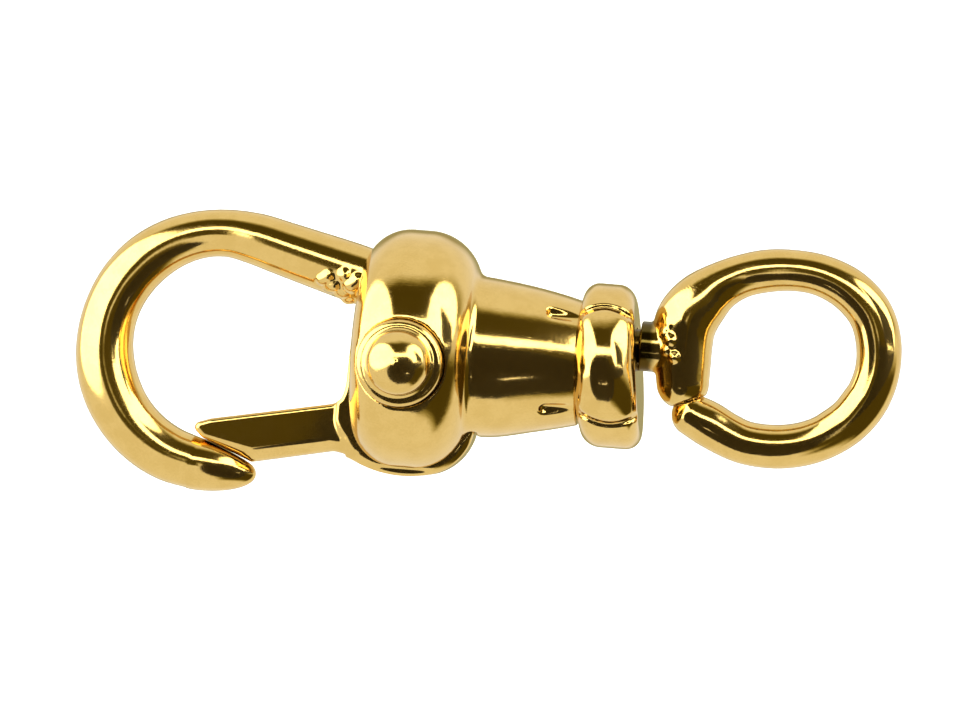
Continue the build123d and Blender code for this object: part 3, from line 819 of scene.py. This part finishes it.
# ---- studio -----------------------------------------------------------------------------------
VIEW_TURN = 5.5             # degrees that the camera stands towards the eye
VIEW_ROLL = 4.6             # degrees that the swivel axis runs down to the right
LENS, SENSOR = 300.0, 36.0
FRAME_WIDTH = 34.62         # millimetres across the view, at the hook plane
TARGET = Vector((0.97, 0.0, -11.19))

forward = Vector((0, cos(radians(VIEW_TURN)), -sin(radians(VIEW_TURN))))
level_right = Vector((0, sin(radians(VIEW_TURN)), cos(radians(VIEW_TURN))))
level_up = Vector((-1, 0, 0))
right = level_right * cos(radians(VIEW_ROLL)) + level_up * sin(radians(VIEW_ROLL))
up = right.cross(forward)
distance = FRAME_WIDTH / 2 / (SENSOR / 2 / LENS)

camera_data = bpy.data.cameras.new("camera")
camera_data.lens = LENS
camera_data.sensor_width = SENSOR
camera_data.clip_start, camera_data.clip_end = 0.01, 20.0
camera = bpy.data.objects.new("camera", camera_data)
turn = Matrix((right, up, -forward)).transposed().to_4x4()
camera.matrix_world = Matrix.Translation((TARGET - forward * distance) * MM) @ turn
bpy.context.scene.collection.objects.link(camera)
bpy.context.scene.camera = camera

FLOOR_HALF, FLOOR_DROP = 4.0, 0.045         # metres: half its width, and how far it is below the swivel


def sheet(name, spots, colour, glow):
    """A flat sheet of the studio: a dull colour and some light of its own. The spots are in metres."""
    mesh = bpy.data.meshes.new(name)
    mesh.from_pydata(spots, [], [tuple(range(len(spots)))])
    material = bpy.data.materials.new(name)
    material.use_nodes = True
    shader = material.node_tree.nodes["Principled BSDF"]
    shader.inputs["Base Color"].default_value = (*colour, 1)
    shader.inputs["Roughness"].default_value = 0.9
    shader.inputs["Emission Color"].default_value = (1, 1, 1, 1)
    shader.inputs["Emission Strength"].default_value = glow
    mesh.materials.append(material)
    made = bpy.data.objects.new(name, mesh)
    bpy.context.scene.collection.objects.link(made)
    return made


floor_corners = [(a * FLOOR_HALF, b * FLOOR_HALF, cad_low.z - FLOOR_DROP)
                 for a, b in ((-1, -1), (1, -1), (1, 1), (-1, 1))]
floor = sheet("floor", floor_corners, (0.92, 0.92, 0.92), glow=0.35)
floor.visible_glossy = False


def oval_corners(middle, half, count=48):
    """Points round an oval, from its middle and its half width and half height."""
    turns = [radians(360 * number / count) for number in range(count)]
    return [(middle[0] + half[0] * cos(turn), middle[1] + half[1] * sin(turn)) for turn in turns]


def upright_card(name, corners, away, colour, glow=0.0):
    """A flat card facing the swivel, which only shows in the metal."""
    # corners are right and up of the view's middle, and away is towards the camera, in millimetres
    spots = [(TARGET + right * a + up * b - forward * away) * MM for a, b in corners]
    card = sheet(name, spots, colour, glow)
    card.visible_camera = False
    card.visible_diffuse = False
    card.visible_shadow = False


CARD_BROWN = (0.025, 0.018, 0.003)
upright_card("camera_card", oval_corners((0.5, -10), (12, 13.4)), 15.5, CARD_BROWN)
upright_card("low_card", [(12, -8), (120, -8), (120, 1), (12, 1)], 23, CARD_BROWN)
upright_card("high_card", [(26, 2), (120, 2), (120, 24), (26, 24)], 23, CARD_BROWN)
upright_card("light_strip", [(1.6, -7.8), (3.9, -7.4), (3.9, -7.1), (1.6, -7.5)], 15.3, (1, 1, 1), 3.0)

# ---- surroundings: a white tent, a dark arch, soft panels and a dark camera side -------------------
world = bpy.data.worlds.new("studio")
bpy.context.scene.world = world
world.use_nodes = True
world.node_tree.nodes.clear()
nodes = Nodes(world.node_tree)
look = nodes.add("ShaderNodeTexCoord").outputs["Generated"]


def along(direction):
    """How far the looked-at direction goes along another one."""
    inputs = {0: look, 1: tuple(direction)}
    return nodes.add("ShaderNodeVectorMath", inputs, operation="DOT_PRODUCT").outputs["Value"]


to_right, to_up, to_camera = along(right), along(up), along(-forward)
DEGREES = degrees(1)            # in a radian
azimuth = nodes.math("MULTIPLY", nodes.math("ARCTAN2", to_right, to_camera), DEGREES)
elevation = nodes.math("MULTIPLY", nodes.math("ARCSINE", to_up), DEGREES)


def window(value, low, high, soft):
    """1 between two limits, falling softly to 0 outside them."""
    rise = nodes.ramp(value, low - soft / 2, low + soft / 2)
    fall = nodes.ramp(value, high - soft / 2, high + soft / 2, 1.0, 0.0)
    return nodes.math("MULTIPLY", rise, fall)


def lay(under, mask, value):
    """A value laid over another one where the mask is 1."""
    return nodes.math("ADD", under, nodes.math("MULTIPLY", mask, nodes.math("SUBTRACT", value, under)))


def oval(azimuth_at, elevation_at, half_wide, half_high, soft):
    """A soft-edged oval of the sky, as a mask."""
    a = nodes.math("DIVIDE", nodes.math("SUBTRACT", azimuth, azimuth_at), half_wide)
    b = nodes.math("DIVIDE", nodes.math("SUBTRACT", elevation, elevation_at), half_high)
    reach = nodes.math("SQRT", nodes.math("ADD", nodes.math("MULTIPLY", a, a), nodes.math("MULTIPLY", b, b)))
    return nodes.ramp(reach, 1 - soft, 1 + soft, 1.0, 0.0)


def pane(azimuth_low, azimuth_high, elevation_low, elevation_high, soft=7):
    """A soft-edged rectangle of the sky, as a mask."""
    across = window(azimuth, azimuth_low, azimuth_high, soft)
    return nodes.math("MULTIPLY", across, window(elevation, elevation_low, elevation_high, soft))


TENT, PANEL, DARK, SCREEN = 1.05, 4.5, 0.09, 0.42
light = nodes.math("ADD", TENT, 0.0)
light = lay(light, oval(0, 14, 106, 57, 0.15), DARK)        # dark arch round the panels
light = lay(light, pane(-200, 0, -90, 4, 5), TENT)          # its lower left stays white
light = lay(light, pane(60, 200, -90, 12, 12), TENT)        # and its lower right
light = lay(light, oval(-66, 20, 50, 34, 0.06), PANEL)      # left panel
light = lay(light, oval(60, 26, 36, 28, 0.07), PANEL)       # right panel
light = lay(light, pane(-18, 36, 18, 29, 3), PANEL)         # bar between them
light = lay(light, pane(-20, -5, -8, 17, 4), DARK)          # the arch's foot, beside the left panel
light = lay(light, pane(10, 100, -60, -6, 16), DARK)        # the camera's side, in the dark
# a greyer screen stands behind the swivel, for the views from the back
behind = nodes.ramp(nodes.math("ABSOLUTE", azimuth), 150, 168)
light = lay(light, nodes.math("MULTIPLY", behind, window(elevation, -22, 30, 16)), SCREEN)

background = nodes.add("ShaderNodeBackground", {"Strength": 1.0})
# what is dark is warm too, as round a photographer's table
green = nodes.math("MINIMUM", nodes.math("POWER", light, 1.1), light)
blue = nodes.math("MINIMUM", nodes.math("POWER", light, 1.9), nodes.math("POWER", light, 0.9))
tint = nodes.add("ShaderNodeCombineXYZ", {0: light, 1: green, 2: blue}).outputs[0]
world.node_tree.links.new(tint, background.inputs["Color"])
# behind the swivel the camera sees plain white
plain = nodes.add("ShaderNodeBackground", {"Color": (1, 1, 1, 1), "Strength": TENT})
path = nodes.add("ShaderNodeLightPath").outputs["Is Camera Ray"]
mixed = nodes.add("ShaderNodeMixShader", {0: path, 1: background.outputs[0], 2: plain.outputs[0]})
world_output = nodes.add("ShaderNodeOutputWorld")
world.node_tree.links.new(mixed.outputs[0], world_output.inputs["Surface"])
bpy.context.scene.view_settings.view_transform = "Standard"
